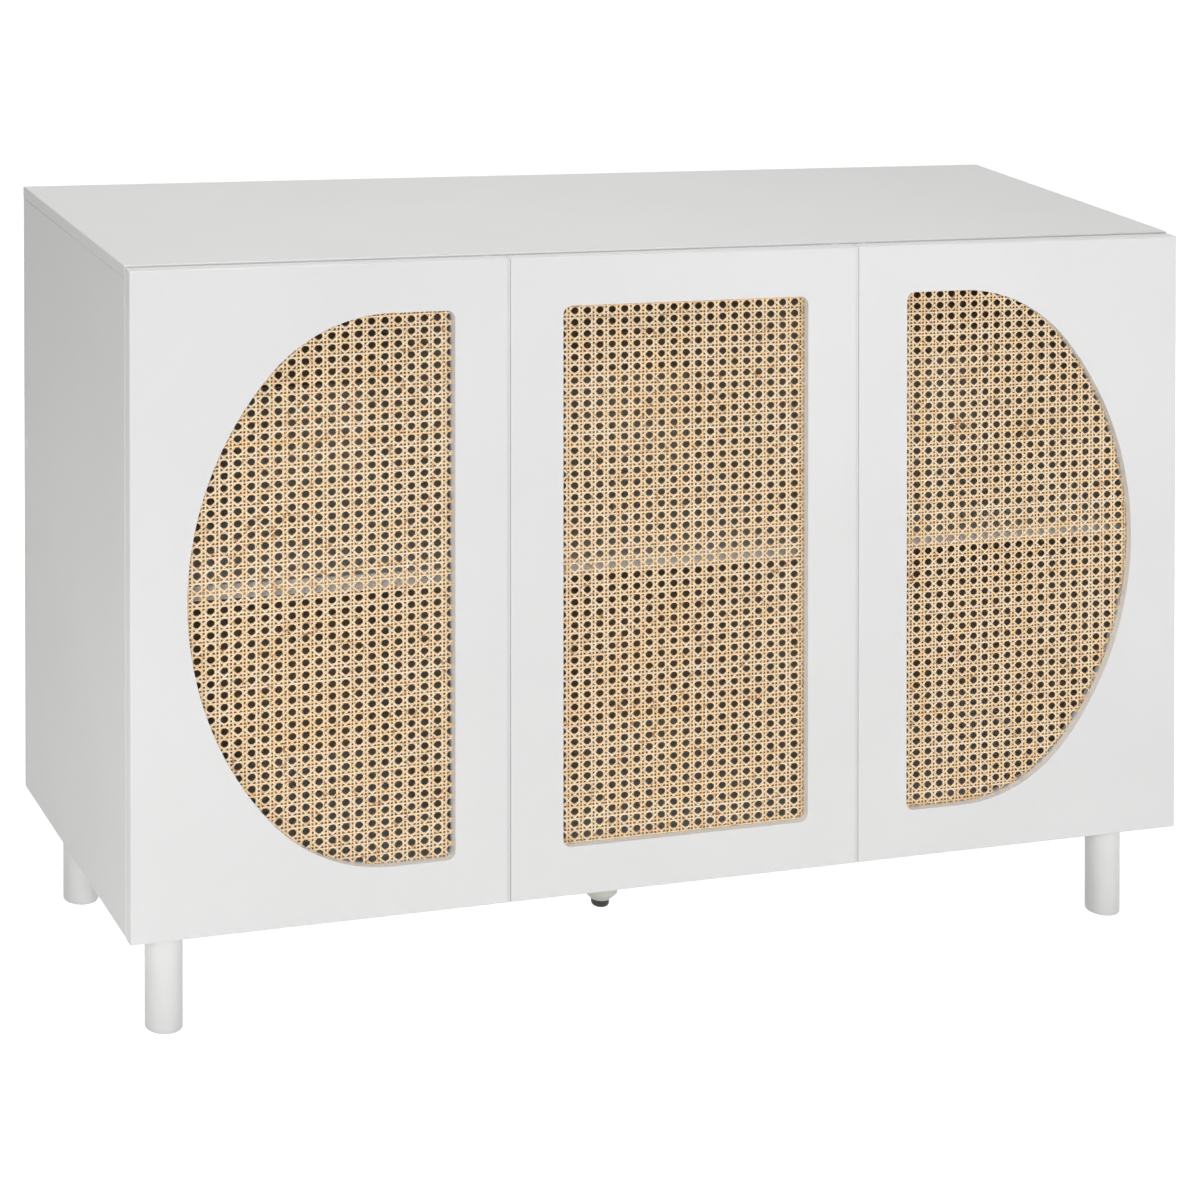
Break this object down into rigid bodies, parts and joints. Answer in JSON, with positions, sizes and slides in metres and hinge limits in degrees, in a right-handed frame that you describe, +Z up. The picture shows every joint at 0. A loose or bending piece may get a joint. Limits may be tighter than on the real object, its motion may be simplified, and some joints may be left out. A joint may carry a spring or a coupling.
{
  "type": "sideboard",
  "caption": "Low white sideboard with cane-front doors, shelves behind them and round legs.",
  "frame": {"origin": "on the floor under the middle of the cabinet", "axes": "+X to the right along the width, +Y to the rear, +Z up; the doors face -Y"},
  "size_m": [1.2008, 0.4, 0.768],
  "materials": {
    "foil_board": "satin white foil",
    "painted_door": "satin white paint",
    "back_sheet": "natural hardboard",
    "cane": "natural woven cane",
    "painted_leg": "satin white paint",
    "grey_leg": "matte",
    "white_plastic": "satin",
    "black_plastic": "matte",
    "clear_rubber": "clear",
    "zinc": "die-cast zinc",
    "steel": "nickel plated"
  },
  "bodies": {
    "carcase": {"top_panel": "foil_board", "bottom_panel": "foil_board", "left_side_panel": "foil_board", "right_side_panel": "foil_board", "left_divider": "foil_board", "right_divider": "foil_board", "gap_strips": "white_plastic", "left_back_sheet": "back_sheet", "middle_back_sheet": "back_sheet", "right_back_sheet": "back_sheet", "left_shelf": "foil_board", "middle_shelf": "foil_board", "right_shelf": "foil_board", "shelf_pins": "steel", "left_rear_rail": "foil_board", "middle_rear_rail": "foil_board", "right_rear_rail": "foil_board", "front_left_leg": "painted_leg", "front_right_leg": "painted_leg", "rear_left_leg": "painted_leg", "rear_right_leg": "painted_leg", "leg_glides": "white_plastic", "leg_plates": "steel", "leg_plate_screws": "steel", "middle_leg": "grey_leg", "middle_leg_plate": "steel", "left_hinge_arms": "steel", "middle_hinge_arms": "steel", "right_hinge_arms": "steel", "hinge_plates": "steel", "hinge_plate_screws": "steel", "latch_housings": "white_plastic", "cam_locks": "zinc", "cam_bolts": "steel", "cover_caps": "white_plastic", "door_bumpers": "clear_rubber"},
    "left_door": {"left_door_panel": "painted_door", "left_cane": "cane", "left_cane_retainer": "painted_door", "left_hinge_cups": "steel", "left_cup_screws": "steel", "left_strike": "steel"},
    "middle_door": {"middle_door_panel": "painted_door", "middle_cane": "cane", "middle_cane_retainer": "painted_door", "middle_hinge_cups": "steel", "middle_cup_screws": "steel", "middle_strike": "steel"},
    "right_door": {"right_door_panel": "painted_door", "right_cane": "cane", "right_cane_retainer": "painted_door", "right_hinge_cups": "steel", "right_cup_screws": "steel", "right_strike": "steel"},
    "left_latch_plunger": {"left_plunger": "steel"},
    "middle_latch_plunger": {"middle_plunger": "steel"},
    "right_latch_plunger": {"right_plunger": "steel"},
    "foot": {"levelling_foot": "black_plastic"}
  },
  "joints": [
    {"name": "left_door_hinge", "type": "hinge", "parent": "carcase", "child": "left_door", "pos_m": [-0.593, -0.197, 0.439], "axis": [0, 0, -1], "range_deg": [0, 100]},
    {"name": "middle_door_hinge", "type": "hinge", "parent": "carcase", "child": "middle_door", "pos_m": [-0.192, -0.197, 0.439], "axis": [0, 0, -1], "range_deg": [0, 100]},
    {"name": "right_door_hinge", "type": "hinge", "parent": "carcase", "child": "right_door", "pos_m": [0.593, -0.197, 0.439], "axis": [0, 0, 1], "range_deg": [0, 100]},
    {"name": "left_latch_stroke", "type": "slide", "parent": "carcase", "child": "left_latch_plunger", "axis": [0, 1, 0], "range_m": [0, 0.002], "stiffness_N_per_m": 600, "springref_m": -0.003},
    {"name": "middle_latch_stroke", "type": "slide", "parent": "carcase", "child": "middle_latch_plunger", "axis": [0, 1, 0], "range_m": [0, 0.002], "stiffness_N_per_m": 600, "springref_m": -0.003},
    {"name": "right_latch_stroke", "type": "slide", "parent": "carcase", "child": "right_latch_plunger", "axis": [0, 1, 0], "range_m": [0, 0.002], "stiffness_N_per_m": 600, "springref_m": -0.003},
    {"name": "foot_screw", "type": "slide", "parent": "carcase", "child": "foot", "axis": [0, 0, -1], "range_m": [0, 0.01]}
  ]
}
